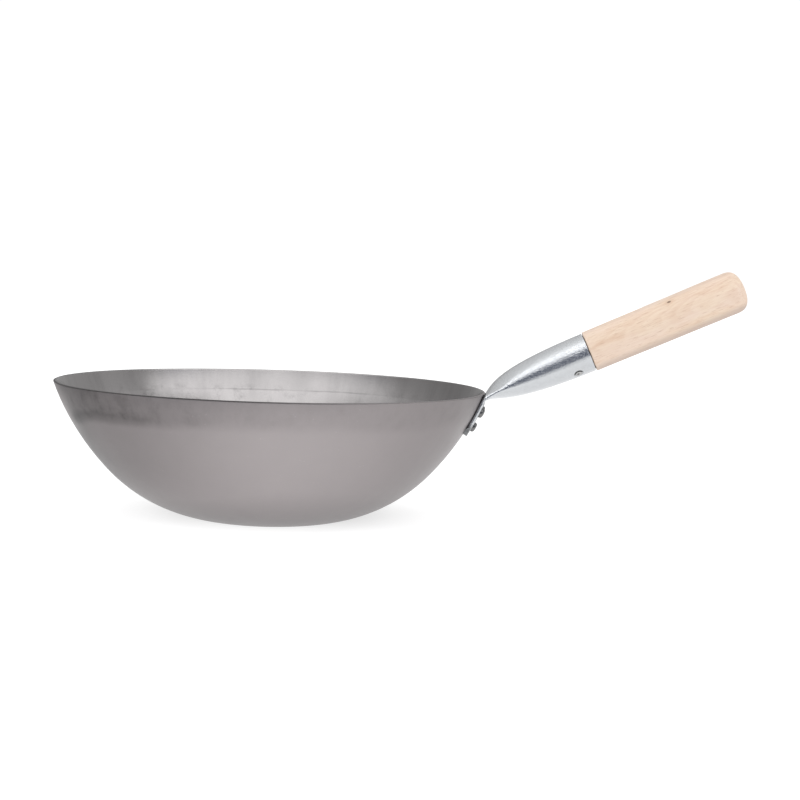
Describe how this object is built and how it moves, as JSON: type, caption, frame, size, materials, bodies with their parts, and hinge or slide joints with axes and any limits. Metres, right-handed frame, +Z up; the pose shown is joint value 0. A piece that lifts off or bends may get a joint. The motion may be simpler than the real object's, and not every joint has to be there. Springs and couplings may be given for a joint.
{
  "type": "wok",
  "caption": "Flat-bottomed carbon steel wok with a zinc-plated tube socket riveted to its wall and a turned wooden grip nailed into the socket",
  "frame": {"origin": "centre of the flat base's underside", "axes": "+X along the handle's plan direction, +Z up out of the bowl's mouth, +Y to the left of the handle seen from above"},
  "size_m": [0.5245, 0.3298, 0.2023],
  "materials": {
    "carbon_steel": "satin, faintly sanded around the bowl",
    "zinc_plated_steel": "bright zinc plate",
    "rivet_steel": "plain bare steel",
    "grip_wood": "turned and sanded, unvarnished"
  },
  "bodies": {
    "root": {"wok_bowl": "carbon_steel", "handle_socket": "zinc_plated_steel", "upper_rivet_near": "rivet_steel", "upper_rivet_far": "rivet_steel", "lower_rivet": "rivet_steel", "wooden_grip": "grip_wood", "grip_nail": "rivet_steel"}
  },
  "joints": []
}
